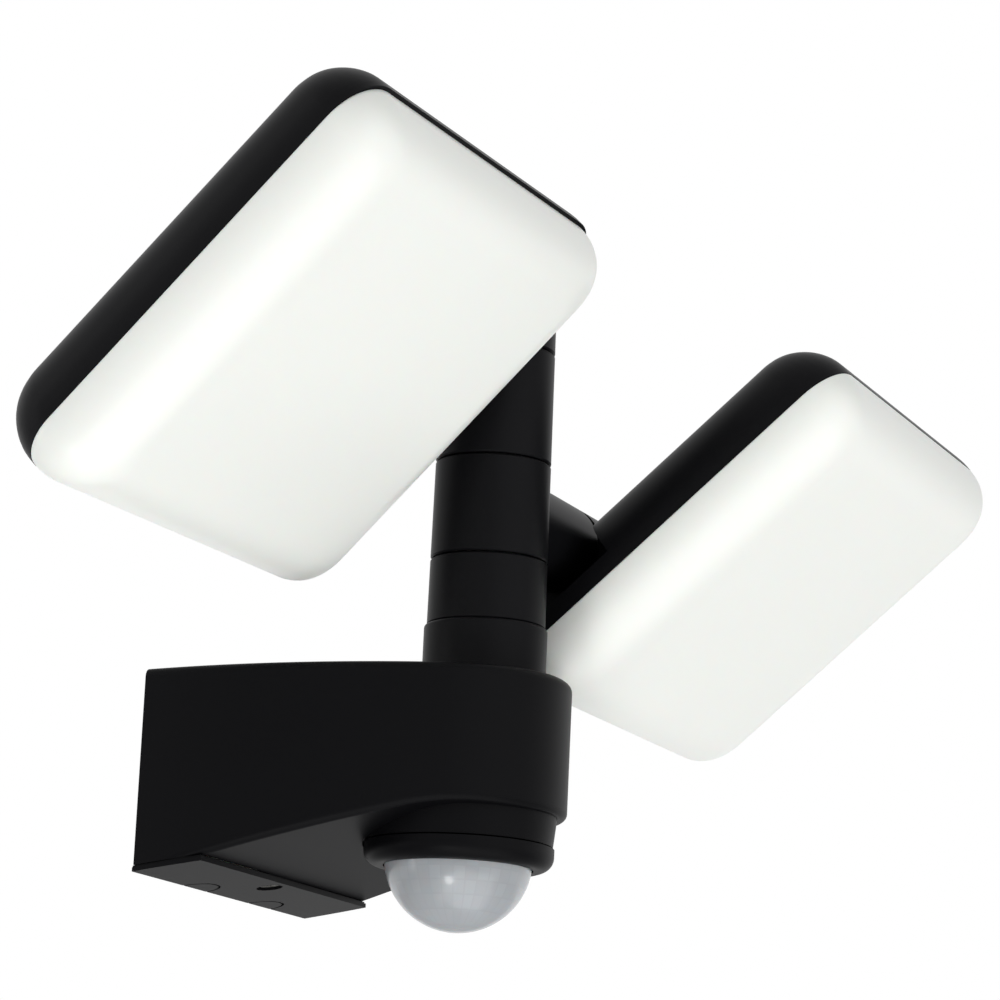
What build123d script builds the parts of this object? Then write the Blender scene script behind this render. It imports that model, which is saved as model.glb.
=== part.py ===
from build123d import *

import os
from math import atan2, cos, degrees, radians, sin, sqrt, tan

os.makedirs("parts", exist_ok=True)

# Frame: the wall is the plane y = 0, the light stands out along -Y, X runs across and Z is up.
# The origin is the middle of the wall plate's back face. All sizes are in millimetres and degrees.

# ---------------------------------------------------------------- wall housing
housing_width = 91.0
housing_height = 48.0  # at the wall
side_radius = 148.5  # plan curve of the two flanks
nose_radius = 31.4  # plan curve of the nose
top_slope = 2.4  # the top face rises towards the nose
shell_wall = 2.5
top_edge_round = 2.0
belly_edge_round = 1.8
belly_slope = 16.0  # underside behind the sensor
nose_rise = 18.8  # flat underside at the nose, above the housing's lowest level
belly_blend = 60.0  # radius that joins the belly slope to the flat
wall_clearance = 0.3  # the shell stops short of the wall

# ---------------------------------------------------------------- wall plate
plate_thickness = 3.0
plate_clearance = 0.4  # all round, inside the shell
plate_corner = 3.0
lip_depth = 17.4
lip_slope = 8.5
lip_edge = 1.0  # thickness of the lip's visible edge
lip_gap = 0.5
fixing_spacing = 60.0
fixing_slot_width = 5.0
fixing_slot_length = 10.0
gasket_width = 3.0
gasket_depth = 1.5
gasket_inset = 2.0
cable_hole_radius = 6.0
cable_hole_clearance = 0.5  # below the channel of the wall seal
cable_radius = 4.0
grommet_flange = 2.5
grommet_flange_thickness = 1.2
knockout_radius = 5.9
knockout_groove = 0.6
knockout_depth = 0.4
knockout_left = 14.0
knockout_right = 20.0

# ---------------------------------------------------------------- sensor
sensor_setback = 24.7  # sensor axis behind the nose
bezel_radius = 22.6
bezel_height = 5.2
bezel_round = 3.4
bezel_drop = 7.4  # top of the bezel below the nose's underside
neck_gap = 0.4
neck_bore_radius = 19.0
neck_draft = 6.0
dome_radius = 17.6
dome_drop = 2.8  # centre of the dome below the top of the bezel
dome_wall = 0.9
dome_flange = 1.4
dome_flange_thickness = 1.2
dome_gap = 0.25
barrel_wall = 1.8
barrel_clearance = 0.3
barrel_rise = 3.7  # above the floor of the housing
retainer_width = 1.6
retainer_thickness = 1.6
sensor_board_radius = 15.5
sensor_board_rise = 3.0  # above the top of the bezel
sensor_ledge = 1.0
board_thickness = 1.6
pyro_radius = 4.6
pyro_height = 4.2
photocell_radius = 2.2
photocell_height = 2.0
photocell_offset = 9.5

# ---------------------------------------------------------------- pole
pole_setback = 20.4  # pole axis behind the nose
collar_radius = 14.8
collar_joint = 39.9
lower_joint = 56.0
middle_joint = 79.95
upper_joint = 107.5
lower_axis = 68.0  # tilt axis of the right head
upper_axis = 126.6  # tilt axis of the left head
pole_root_radius = 14.3
pole_draft = 0.4
joint_gap = 0.4
joint_chamfer = 0.35
collar_round = 0.8
hub_top_margin = 12.0  # height of the upper hub above its tilt axis
stub_radius = 11.35
stub_end_round = 1.2
rod_radius = 5.0
rod_bore_radius = 3.2
rod_clearance = 0.4
rod_fit = 0.05
spigot_radius = 8.0
spigot_clearance = 0.2
spigot_length = 12.0
nut_radius = 12.5
nut_thickness = 5.0
pad_margin = 1.0
hub_ring_radius = 10.5
hub_ring_thickness = 1.6
hub_ring_width = 3.5
cap_height = 2.6
cap_round = 1.4
cap_plug = 2.0
cap_recess = 8.0
cap_nut_radius = 7.5
cap_nut_thickness = 4.0
nut_margin = 1.0
rod_stand = 0.6
cable_channel_radius = 2.2

# ---------------------------------------------------------------- heads
head_width = 125.5  # along the tilt axis
head_length = 110.8
head_corner = 11.5
head_offset = 84.2  # head centre from the pole axis, along the tilt axis
head_lead = 29.3  # head centre from the tilt axis, along the face
head_drop = 23.1  # seam plane from the tilt axis, along the face's normal
right_tilt = 41.1  # face normal forward of straight down, as stored
left_tilt = 44.5
right_pan = 0.8
left_pan = -0.7
rear_depth = 17.6
rear_draft = 0.5
rear_round = 16.2
rear_wall = 2.5
seal_thickness = 0.6
seal_inset = 0.3
front_depth = 13.25
front_side = 9.05  # height of the diffuser's side up to its ridge
front_draft = 12.5
front_slope = 60.0  # from the face's normal, between the ridge and the flat face
front_ridge_round = 4.0
front_round = 8.0
front_wall = 2.2
edge_search = 0.1  # the ridge's edges lie within this of its level
rim_depth = 3.0
rim_wall = 1.5
rim_clearance = 0.3
pocket_reach = 22.5
pocket_clearance = 1.4
pocket_roof = 4.6
pocket_wall = 2.2
knuckle_length = 14.0
knuckle_round = 1.5
washer_thickness = 1.5
washer_inset = 1.0
knuckle_wall = 4.0
nipple_radius = 4.0
nipple_end = 1.0
pivot_clearance = 0.08
tilt_nut_radius = 7.0
tilt_nut_thickness = 4.0
chamber_radius = 8.0
chamber_length = 8.0

# ---------------------------------------------------------------- inside the heads
led_board_margin = 6.2
led_board_corner = 8.0
led_board_underside = -1.2
led_columns = 6
led_rows = 4
led_pitch_x = 17.0
led_pitch_y = 20.0
led_width = 3.5
led_depth = 2.8
led_height = 0.8
board_screw_side = 29.75  # board screws from the head's sides
board_screw_end = 11.4  # board screws from the head's ends
board_boss_radius = 3.2
board_screw_radius = 1.4
board_screw_length = 6.0
board_screw_head_radius = 2.6
board_screw_head_height = 1.6
screw_fit = 0.05
screw_chamfer = 0.5
driver_length = 58.0
driver_width = 30.0
driver_height = 9.5
driver_corner = 2.0
driver_x = 8.0
driver_y = 8.0

# ---------------------------------------------------------------- inside the housing
control_length = 56.0
control_width = 30.0
control_drop = 18.9  # board below the ceiling of the housing
control_distance = 33.0
control_post_radius = 3.2
control_post_spacing = 46.0
control_corner = 1.5
relay_x = -9.0
capacitor_x = 10.0
component_round = 0.6
relay_length = 19.0
relay_width = 15.5
relay_height = 10.0
capacitor_radius = 5.0
capacitor_height = 9.0
terminal_length = 28.0
terminal_height = 15.0
terminal_depth = 12.0
terminal_poles = 3
terminal_pitch = 9.0
terminal_x = -24.5
terminal_clearance = 0.5  # above the lip
terminal_corner = 1.0
terminal_screw_radius = 1.9
terminal_screw_length = 3.5
terminal_well = 6.0
terminal_fit = 0.1
terminal_entry_radius = 2.4
terminal_entry_depth = 6.0
housing_screw_distance = 12.8
housing_screw_radius = 2.0
housing_screw_head_radius = 2.9
housing_screw_head_height = 1.8
housing_screw_length = 6.0
housing_screw_recess = 2.4  # depth of the round sink in the lip
housing_screw_margin = 0.3
drive_length = 3.4
drive_width = 0.9
drive_depth = 0.9
lip_boss_radius = 4.3
lip_boss_height = 4.0
lip_boss_clearance = 0.3
tongue_width = 18.0
tongue_thickness = 7.0

# ---------------------------------------------------------------- worked out from the sizes above
half_width = housing_width / 2
half_height = housing_height / 2
nose_centre = sqrt((side_radius - nose_radius) ** 2 - (side_radius - half_width) ** 2)
housing_reach = nose_centre + nose_radius
flank_angle = degrees(atan2(nose_centre, side_radius - half_width))
lip_rise = tan(radians(lip_slope)) * lip_depth
lip_front_top = -half_height + lip_rise + lip_edge
lip_back_top = -half_height + lip_edge
nose_underside = -half_height + nose_rise
belly_rise = tan(radians(belly_slope))
belly_start = lip_front_top + lip_gap
flat_distance = lip_depth + (nose_underside - belly_start) / belly_rise
inner_floor = nose_underside + shell_wall
inner_belly_start = belly_start + shell_wall / cos(radians(belly_slope))
inner_flat_distance = lip_depth + (inner_floor - inner_belly_start) / belly_rise
tongue_back = 2 * housing_screw_distance - lip_depth
front = 2 * housing_reach  # any plane well beyond the nose
plate_width = housing_width - 2 * (shell_wall + plate_clearance)
plate_top = half_height - shell_wall - plate_clearance
plate_bottom = lip_back_top - lip_gap
plate_middle = (plate_top + plate_bottom) / 2
plate_height = plate_top - plate_bottom
gasket_outer_width = plate_width - 2 * gasket_inset
gasket_outer_height = plate_height - 2 * gasket_inset
gasket_inner_width = gasket_outer_width - 2 * gasket_width
gasket_inner_height = gasket_outer_height - 2 * gasket_width
cable_hole_height = plate_top - gasket_inset - gasket_width - cable_hole_clearance - cable_hole_radius
pole_distance = housing_reach - pole_setback
sensor_distance = housing_reach - sensor_setback
bezel_top = nose_underside - bezel_drop
dome_centre = bezel_top - dome_drop
sensor_board_level = bezel_top + sensor_board_rise
neck_radius = bezel_radius - neck_gap
barrel_radius = neck_bore_radius - barrel_clearance
upper_hub_top = upper_axis + hub_top_margin
ring_recess = hub_ring_thickness - joint_gap
stub_reach = head_offset - head_width / 2 + pocket_reach - washer_thickness
nipple_length = washer_thickness + knuckle_wall + tilt_nut_thickness + nipple_end
pocket_half = stub_radius + pocket_clearance
board_screw_x = head_width / 2 - board_screw_side
board_screw_y = head_length / 2 - board_screw_end
rim_outer = rear_wall + rim_clearance
rim_inner = rim_outer + rim_wall
rod_top = upper_hub_top - cap_recess + cap_nut_thickness + rod_stand

sensor_plane = Plane((0, -sensor_distance, 0))
sensor_section = Plane(origin=sensor_plane.origin, x_dir=(1, 0, 0), z_dir=(0, -1, 0))
sensor_axis = Axis(sensor_plane.origin, (0, 0, 1))
pole_plane = Plane((0, -pole_distance, 0))
pole_point = Vector(0, -pole_distance, 0)
pole_section = Plane(origin=pole_point, x_dir=(1, 0, 0), z_dir=(0, -1, 0))
cable_plane = Plane(origin=(0, 0, cable_hole_height), x_dir=(1, 0, 0), z_dir=(0, -1, 0))
lip_normal = Vector(0, sin(radians(lip_slope)), cos(radians(lip_slope)))
lip_plane = Plane(origin=(0, 0, -half_height), x_dir=(1, 0, 0), z_dir=lip_normal)
lip_screw_plane = Plane(
    origin=(0, -housing_screw_distance, -half_height + tan(radians(lip_slope)) * housing_screw_distance),
    x_dir=(1, 0, 0),
    z_dir=lip_normal,
)


def top_level(distance):
    """Height of the housing's top face at a distance from the wall."""
    return half_height + tan(radians(top_slope)) * distance


def lip_top(distance):
    """Height of the lip's upper face at a distance from the wall."""
    return lip_back_top + tan(radians(lip_slope)) * distance


def pole_radius(level):
    """Radius of the drafted pole at a height."""
    return pole_root_radius - tan(radians(pole_draft)) * (level - half_height)


pad_level = top_level(pole_distance - nut_radius - 2 * pad_margin) - shell_wall
spigot_end = pad_level - spigot_length
control_post_top = top_level(control_distance) - shell_wall / 2
control_level = top_level(control_distance) - shell_wall - control_drop
control_plane = Plane((0, -control_distance, control_level))
terminal_bottom = lip_top(plate_thickness + terminal_depth) + terminal_clearance
terminal_plane = Plane(
    origin=(terminal_x, -plate_thickness, terminal_bottom + terminal_height / 2),
    x_dir=(1, 0, 0),
    z_dir=(0, -1, 0),
)
terminal_entry_plane = Plane(
    (terminal_x, -plate_thickness - terminal_depth / 2, terminal_bottom + terminal_height)
)


def plan_outline(inset, back):
    """Plan of the housing, set in by a wall, from the line y = -back to the nose."""
    flank = side_radius - inset
    nose = nose_radius - inset
    flank_x = side_radius - half_width
    start = degrees(atan2(back, sqrt(flank**2 - back**2)))
    with BuildSketch() as plan:
        with BuildLine():
            right = CenterArc((-flank_x, 0), flank, -start, -(flank_angle - start))
            CenterArc((0, -nose_centre), nose, -flank_angle, -(180 - 2 * flank_angle))
            left = CenterArc((flank_x, 0), flank, 180 + flank_angle, -(flank_angle - start))
            Line(left @ 1, right @ 0)
        make_face()
    return plan.sketch


def pole_length(bottom, top):
    """Solid length of the drafted pole with both rims chamfered."""
    with BuildPart() as length:
        with BuildSketch(pole_section):
            with BuildLine():
                Polyline(
                    (0, bottom),
                    (pole_radius(bottom) - joint_chamfer, bottom),
                    (pole_radius(bottom), bottom + joint_chamfer),
                    (pole_radius(top), top - joint_chamfer),
                    (pole_radius(top) - joint_chamfer, top),
                    (0, top),
                    close=True,
                )
            make_face()
        revolve(axis=Axis(pole_point, (0, 0, 1)))
    return length.part


def head_plane(side, axis_level, tilt, pan):
    """Seam plane of a head: X leads away from the pole and Z out of the light's face."""
    sideways = Vector(side, 0, 0).rotate(Axis.Z, pan)
    face_normal = Vector(0, -sin(radians(tilt)), -cos(radians(tilt))).rotate(Axis.Z, pan)
    along = face_normal.cross(sideways)
    centre = pole_point + Vector(0, 0, axis_level)
    centre += sideways * head_offset + along * head_lead + face_normal * head_drop
    return Plane(origin=centre, x_dir=sideways, z_dir=face_normal)


def pivot_plane(seam, distance):
    """Plane square to a head's tilt axis, at a distance from the head's middle."""
    centre = seam.from_local_coords(Vector(distance, -head_lead, -head_drop))
    return Plane(origin=centre, x_dir=seam.y_dir, z_dir=seam.x_dir)


def save(part, name):
    """Label a finished piece and write its STEP file."""
    part.label = name
    export_step(part, f"parts/{name}.step")


# ================================================================ wall housing
with BuildPart() as housing_cavity:
    with BuildSketch(Plane.XY.offset(-housing_height)):
        add(plan_outline(shell_wall, -wall_clearance))
    extrude(amount=2 * housing_height)
    with BuildSketch(Plane.YZ):
        with BuildLine():
            FilletPolyline(
                (-front, inner_floor),
                (-inner_flat_distance, inner_floor),
                (-lip_depth, inner_belly_start),
                radius=belly_blend - shell_wall,
            )
            Polyline(
                (-lip_depth, inner_belly_start),
                (-lip_depth, -housing_height),
                (wall_clearance, -housing_height),
                (wall_clearance, top_level(0) - shell_wall),
                (-front, top_level(front) - shell_wall),
                (-front, inner_floor),
            )
        make_face()
    extrude(amount=housing_width, both=True, mode=Mode.INTERSECT)

with BuildPart() as housing_shell:
    with BuildSketch(Plane.XY.offset(-housing_height)):
        add(plan_outline(0, wall_clearance))
    extrude(amount=2 * housing_height)
    with BuildSketch(Plane.YZ):
        with BuildLine():
            FilletPolyline(
                (-front, nose_underside),
                (-flat_distance, nose_underside),
                (-lip_depth, belly_start),
                radius=belly_blend,
            )
            Polyline(
                (-lip_depth, belly_start),
                (0, lip_back_top + lip_gap),
                (0, top_level(0)),
                (-front, top_level(front)),
                (-front, nose_underside),
            )
        make_face()
    extrude(amount=housing_width, both=True, mode=Mode.INTERSECT)
    top_face = housing_shell.faces().sort_by(Axis.Z)[-1]
    fillet(top_face.edges().filter_by(Axis.X, reverse=True), radius=top_edge_round)
    under_faces = housing_shell.faces().filter_by(lambda face: face.normal_at().Z < -cos(radians(45)))
    belly_edges = under_faces.edges().filter_by(lambda edge: edge.center().Y < -lip_depth)
    fillet(belly_edges.filter_by(Axis.X, reverse=True), radius=belly_edge_round)
    add(housing_cavity.part, mode=Mode.SUBTRACT)
    # neck of the sensor under the nose
    with BuildSketch(sensor_plane.offset(bezel_top + neck_gap)):
        Circle(neck_radius)
    extrude(amount=inner_floor - bezel_top - neck_gap, taper=-neck_draft)
    with BuildSketch(sensor_plane.offset(bezel_top)):
        Circle(neck_bore_radius)
    extrude(amount=inner_floor + shell_wall - bezel_top, mode=Mode.SUBTRACT)
    # room for the turning bezel where the belly dips below its upper edge
    with BuildSketch(sensor_plane.offset(bezel_top + neck_gap)):
        Circle(bezel_radius + neck_gap)
    extrude(amount=-bezel_height, mode=Mode.SUBTRACT)
    # flat pad inside the top, with the hole for the pole's threaded spigot
    with BuildSketch(pole_plane.offset(pad_level)):
        Circle(nut_radius + pad_margin)
    extrude(amount=top_level(pole_distance) - shell_wall / 2 - pad_level)
    with BuildSketch(pole_plane.offset(pad_level)):
        Circle(spigot_radius + spigot_clearance)
    extrude(amount=half_height, mode=Mode.SUBTRACT)
    # tongue over the lip, with the hole for the screw that holds the housing
    with BuildSketch(Plane.YZ):
        with BuildLine():
            Polyline(
                (-tongue_back, lip_top(tongue_back) + lip_gap),
                (-lip_depth, belly_start),
                (-lip_depth - shell_wall, belly_start + belly_rise * shell_wall),
                (-lip_depth - shell_wall, belly_start + tongue_thickness),
                (-tongue_back, lip_top(tongue_back) + tongue_thickness),
                close=True,
            )
        make_face()
    extrude(amount=tongue_width / 2, both=True)
    with BuildSketch(lip_screw_plane):
        Circle(lip_boss_radius + lip_boss_clearance)
    extrude(amount=lip_boss_height + lip_boss_clearance, mode=Mode.SUBTRACT)
    with BuildSketch(lip_screw_plane.offset(housing_screw_recess)):
        Circle(housing_screw_radius)
    extrude(amount=housing_screw_length, mode=Mode.SUBTRACT)
    # posts under the top for the control board
    with BuildSketch(control_plane.offset(board_thickness)):
        with GridLocations(control_post_spacing, 1, 2, 1):
            Circle(control_post_radius)
    extrude(amount=control_post_top - control_level - board_thickness)
    with BuildSketch(control_plane):
        with GridLocations(control_post_spacing, 1, 2, 1):
            Circle(board_screw_radius)
    extrude(amount=board_screw_length, mode=Mode.SUBTRACT)
save(housing_shell.part, "housing_shell")

# ================================================================ wall plate
with BuildPart() as lip_prism:
    with BuildSketch(Plane.YZ):
        with BuildLine():
            Polyline(
                (0, -half_height),
                (-lip_depth, -half_height + lip_rise),
                (-lip_depth, lip_top(lip_depth)),
                (0, lip_back_top),
                close=True,
            )
        make_face()
    extrude(amount=housing_width, both=True)
    with BuildSketch(Plane.XY.offset(-housing_height)):
        add(plan_outline(0, 0))
    extrude(amount=housing_height, mode=Mode.INTERSECT)

with BuildPart() as wall_plate:
    with BuildSketch(Plane.XZ):
        with Locations((0, plate_middle)):
            RectangleRounded(plate_width, plate_height, plate_corner)
    extrude(amount=plate_thickness)
    add(lip_prism.part)
    # slots for the wall screws, and the cable hole
    with BuildSketch(Plane.XZ):
        with GridLocations(fixing_spacing, 1, 2, 1):
            SlotOverall(fixing_slot_length, fixing_slot_width)
        with Locations((0, cable_hole_height)):
            Circle(cable_hole_radius)
    extrude(amount=plate_thickness, mode=Mode.SUBTRACT)
    # channel for the wall seal
    with BuildSketch(Plane.XZ):
        with Locations((0, plate_middle)):
            RectangleRounded(gasket_outer_width, gasket_outer_height, plate_corner)
            RectangleRounded(gasket_inner_width, gasket_inner_height, plate_corner, mode=Mode.SUBTRACT)
    extrude(amount=gasket_depth, mode=Mode.SUBTRACT)
    # boss with the sunk hole for the screw that holds the housing, and the marked knock-outs
    with BuildSketch(lip_screw_plane.offset(lip_edge / 2)):
        Circle(lip_boss_radius)
    extrude(amount=lip_boss_height - lip_edge / 2)
    with BuildSketch(lip_screw_plane):
        Circle(housing_screw_head_radius + housing_screw_margin)
    extrude(amount=housing_screw_recess, mode=Mode.SUBTRACT)
    with BuildSketch(lip_screw_plane):
        Circle(housing_screw_radius + housing_screw_margin)
    extrude(amount=lip_boss_height, mode=Mode.SUBTRACT)
    with BuildSketch(lip_plane):
        with Locations((-knockout_left, 0), (knockout_right, 0)):
            Circle(knockout_radius + knockout_groove / 2)
            Circle(knockout_radius - knockout_groove / 2, mode=Mode.SUBTRACT)
    extrude(amount=knockout_depth, mode=Mode.SUBTRACT)
save(wall_plate.part, "wall_plate")

with BuildPart() as wall_gasket:
    with BuildSketch(Plane.XZ):
        with Locations((0, plate_middle)):
            RectangleRounded(gasket_outer_width, gasket_outer_height, plate_corner)
            RectangleRounded(gasket_inner_width, gasket_inner_height, plate_corner, mode=Mode.SUBTRACT)
    extrude(amount=gasket_depth)
save(wall_gasket.part, "wall_gasket")

with BuildPart() as cable_grommet:
    with BuildSketch(cable_plane.offset(plate_thickness)):
        Circle(cable_hole_radius + grommet_flange)
    extrude(amount=grommet_flange_thickness)
    with BuildSketch(cable_plane):
        Circle(cable_hole_radius)
    extrude(amount=plate_thickness)
    with BuildSketch(cable_plane):
        Circle(cable_radius)
    extrude(amount=plate_thickness + grommet_flange_thickness, mode=Mode.SUBTRACT)
save(cable_grommet.part, "cable_grommet")

with BuildPart() as housing_screw:
    with BuildSketch(lip_screw_plane.offset(housing_screw_recess - housing_screw_head_height)):
        Circle(housing_screw_head_radius)
    extrude(amount=housing_screw_head_height)
    chamfer(housing_screw.faces().sort_by(Axis.Z)[0].edges(), length=screw_chamfer)
    with BuildSketch(lip_screw_plane.offset(housing_screw_recess - housing_screw_head_height)):
        Rectangle(drive_length, drive_width)
        Rectangle(drive_width, drive_length)
    extrude(amount=drive_depth, mode=Mode.SUBTRACT)
    with BuildSketch(lip_screw_plane.offset(housing_screw_recess)):
        Circle(housing_screw_radius)
    extrude(amount=housing_screw_length - screw_chamfer)
save(housing_screw.part, "housing_screw")

# ================================================================ mains connection and control board
with BuildPart() as terminal_block:
    with BuildSketch(terminal_plane):
        RectangleRounded(terminal_length, terminal_height, terminal_corner)
    extrude(amount=terminal_depth)
    with BuildSketch(terminal_plane.offset(terminal_depth - terminal_well)):
        with GridLocations(terminal_pitch, 1, terminal_poles, 1):
            Circle(terminal_screw_radius + terminal_fit)
    extrude(amount=terminal_well, mode=Mode.SUBTRACT)
    with BuildSketch(terminal_entry_plane):
        with GridLocations(terminal_pitch, 1, terminal_poles, 1):
            Circle(terminal_entry_radius)
    extrude(amount=-terminal_entry_depth, mode=Mode.SUBTRACT)
save(terminal_block.part, "terminal_block")

with BuildPart() as terminal_screws:
    with BuildSketch(terminal_plane.offset(terminal_depth - terminal_well)):
        with GridLocations(terminal_pitch, 1, terminal_poles, 1):
            Circle(terminal_screw_radius)
    extrude(amount=terminal_screw_length)
save(terminal_screws.part, "terminal_screws")

with BuildPart() as control_board:
    with BuildSketch(control_plane):
        RectangleRounded(control_length, control_width, control_corner)
        with GridLocations(control_post_spacing, 1, 2, 1):
            Circle(board_screw_radius + screw_fit, mode=Mode.SUBTRACT)
    extrude(amount=board_thickness)
save(control_board.part, "control_board")

with BuildPart() as control_board_screws:
    with BuildSketch(control_plane.offset(-board_screw_head_height)):
        with GridLocations(control_post_spacing, 1, 2, 1):
            Circle(board_screw_head_radius)
    extrude(amount=board_screw_head_height)
    with BuildSketch(control_plane):
        with GridLocations(control_post_spacing, 1, 2, 1):
            Circle(board_screw_radius)
    extrude(amount=board_screw_length)
save(control_board_screws.part, "control_board_screws")

with BuildPart() as relay:
    with BuildSketch(control_plane.offset(board_thickness)):
        with Locations((relay_x, 0)):
            Rectangle(relay_length, relay_width)
    extrude(amount=relay_height)
    fillet(relay.edges().filter_by(Axis.Z), radius=component_round)
save(relay.part, "relay")

with BuildPart() as capacitor:
    with BuildSketch(control_plane.offset(board_thickness)):
        with Locations((capacitor_x, 0)):
            Circle(capacitor_radius)
    extrude(amount=capacitor_height)
    fillet(capacitor.edges().group_by(Axis.Z)[-1], radius=component_round)
save(capacitor.part, "capacitor")

# ================================================================ sensor
with BuildPart() as sensor_bezel:
    with BuildSketch(sensor_plane.offset(bezel_top)):
        Circle(bezel_radius)
    extrude(amount=-bezel_height)
    fillet(sensor_bezel.edges().group_by(Axis.Z)[0], radius=bezel_round)
    with BuildSketch(sensor_plane.offset(bezel_top)):
        Circle(dome_radius + dome_gap)
    extrude(amount=-bezel_height, mode=Mode.SUBTRACT)
    with BuildSketch(sensor_plane.offset(bezel_top)):
        Circle(dome_radius + dome_flange + dome_gap)
    extrude(amount=-dome_flange_thickness, mode=Mode.SUBTRACT)
save(sensor_bezel.part, "sensor_bezel")

with BuildPart() as sensor_dome:
    with BuildSketch(sensor_section):
        with BuildLine():
            outer_wall = Line((dome_radius, bezel_top - dome_flange_thickness), (dome_radius, dome_centre))
            outer_arc = CenterArc((0, dome_centre), dome_radius, 0, -90)
            pole_line = Line(outer_arc @ 1, (0, dome_centre - dome_radius + dome_wall))
            inner_arc = CenterArc((0, dome_centre), dome_radius - dome_wall, -90, 90)
            Polyline(
                inner_arc @ 1,
                (dome_radius - dome_wall, bezel_top),
                (dome_radius + dome_flange, bezel_top),
                (dome_radius + dome_flange, bezel_top - dome_flange_thickness),
                outer_wall @ 0,
            )
        make_face()
    revolve(axis=sensor_axis)
save(sensor_dome.part, "sensor_dome")

with BuildPart() as sensor_barrel:
    with BuildSketch(sensor_plane.offset(bezel_top)):
        Circle(barrel_radius)
        Circle(barrel_radius - barrel_wall, mode=Mode.SUBTRACT)
    extrude(amount=inner_floor + barrel_rise - bezel_top)
    with BuildSketch(sensor_plane.offset(sensor_board_level + board_thickness)):
        Circle(barrel_radius - barrel_wall / 2)
        Circle(sensor_board_radius - sensor_ledge, mode=Mode.SUBTRACT)
    extrude(amount=barrel_wall)
save(sensor_barrel.part, "sensor_barrel")

with BuildPart() as sensor_retainer:
    with BuildSketch(sensor_plane.offset(inner_floor)):
        Circle(barrel_radius + retainer_width)
        Circle(barrel_radius, mode=Mode.SUBTRACT)
    extrude(amount=retainer_thickness)
save(sensor_retainer.part, "sensor_retainer")

with BuildPart() as sensor_board:
    with BuildSketch(sensor_plane.offset(sensor_board_level)):
        Circle(sensor_board_radius)
    extrude(amount=board_thickness)
save(sensor_board.part, "sensor_board")

with BuildPart() as pyro_sensor:
    with BuildSketch(sensor_plane.offset(sensor_board_level)):
        Circle(pyro_radius)
    extrude(amount=-pyro_height)
    fillet(pyro_sensor.edges().group_by(Axis.Z)[0], radius=component_round)
save(pyro_sensor.part, "pyro_sensor")

with BuildPart() as photocell:
    with BuildSketch(sensor_plane.offset(sensor_board_level)):
        with Locations((photocell_offset, 0)):
            Circle(photocell_radius)
    extrude(amount=-photocell_height)
save(photocell.part, "photocell")

# ================================================================ pole
with BuildPart() as pole_collar:
    with BuildSketch(pole_plane.offset(pad_level)):
        Circle(collar_radius)
    extrude(amount=collar_joint - pad_level)
    fillet(pole_collar.edges().group_by(Axis.Z)[-1], radius=collar_round)
    # the foot follows the sloped top of the housing
    with BuildSketch(Plane.YZ):
        with BuildLine():
            Polyline(
                (0, 0),
                (-front, 0),
                (-front, top_level(front)),
                (0, top_level(0)),
                close=True,
            )
        make_face()
    extrude(amount=housing_width, both=True, mode=Mode.SUBTRACT)
    with BuildSketch(pole_plane.offset(spigot_end)):
        Circle(spigot_radius)
    extrude(amount=collar_joint - collar_round - spigot_end)
    with BuildSketch(pole_plane.offset(spigot_end)):
        Circle(rod_radius + rod_fit)
    extrude(amount=collar_joint - spigot_end, mode=Mode.SUBTRACT)
save(pole_collar.part, "pole_collar")

with BuildPart() as pole_lock_nut:
    with BuildSketch(pole_plane.offset(pad_level)):
        RegularPolygon(radius=nut_radius, side_count=6)
        Circle(spigot_radius + rod_fit, mode=Mode.SUBTRACT)
    extrude(amount=-nut_thickness)
save(pole_lock_nut.part, "pole_lock_nut")

with BuildPart() as tie_rod:
    with BuildSketch(pole_plane.offset(spigot_end)):
        Circle(rod_radius)
        Circle(rod_bore_radius, mode=Mode.SUBTRACT)
    extrude(amount=rod_top - spigot_end)
    # side holes where the cables of the two heads enter
    with BuildSketch(Plane.YZ):
        with Locations((-pole_distance, lower_axis)):
            Circle(cable_channel_radius)
    extrude(amount=2 * rod_radius, mode=Mode.SUBTRACT)
    with BuildSketch(Plane.YZ):
        with Locations((-pole_distance, upper_axis)):
            Circle(cable_channel_radius)
    extrude(amount=-2 * rod_radius, mode=Mode.SUBTRACT)
save(tie_rod.part, "tie_rod")

with BuildPart() as lower_tube:
    add(pole_length(collar_joint, lower_joint - joint_gap / 2))
    with BuildSketch(pole_plane.offset(lower_joint - joint_gap / 2)):
        Circle(hub_ring_radius)
    extrude(amount=-ring_recess, mode=Mode.SUBTRACT)
    with BuildSketch(pole_plane.offset(collar_joint)):
        Circle(rod_radius + rod_fit)
    extrude(amount=lower_joint - collar_joint, mode=Mode.SUBTRACT)
save(lower_tube.part, "lower_tube")

with BuildPart() as middle_tube:
    add(pole_length(middle_joint + joint_gap / 2, upper_joint - joint_gap / 2))
    with BuildSketch(pole_plane.offset(upper_joint - joint_gap / 2)):
        Circle(hub_ring_radius)
    extrude(amount=-ring_recess, mode=Mode.SUBTRACT)
    with BuildSketch(pole_plane.offset(middle_joint + joint_gap / 2)):
        Circle(hub_ring_radius)
    extrude(amount=ring_recess, mode=Mode.SUBTRACT)
    with BuildSketch(pole_plane.offset(middle_joint)):
        Circle(rod_radius + rod_fit)
    extrude(amount=upper_joint - middle_joint, mode=Mode.SUBTRACT)
save(middle_tube.part, "middle_tube")

with BuildPart() as hub_rings:
    with BuildSketch(
        pole_plane.offset(lower_joint - joint_gap / 2 - ring_recess),
        pole_plane.offset(middle_joint - joint_gap / 2),
        pole_plane.offset(upper_joint - joint_gap / 2 - ring_recess),
    ):
        Circle(hub_ring_radius)
        Circle(hub_ring_radius - hub_ring_width, mode=Mode.SUBTRACT)
    extrude(amount=hub_ring_thickness)
save(hub_rings.part, "hub_rings")


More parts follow.
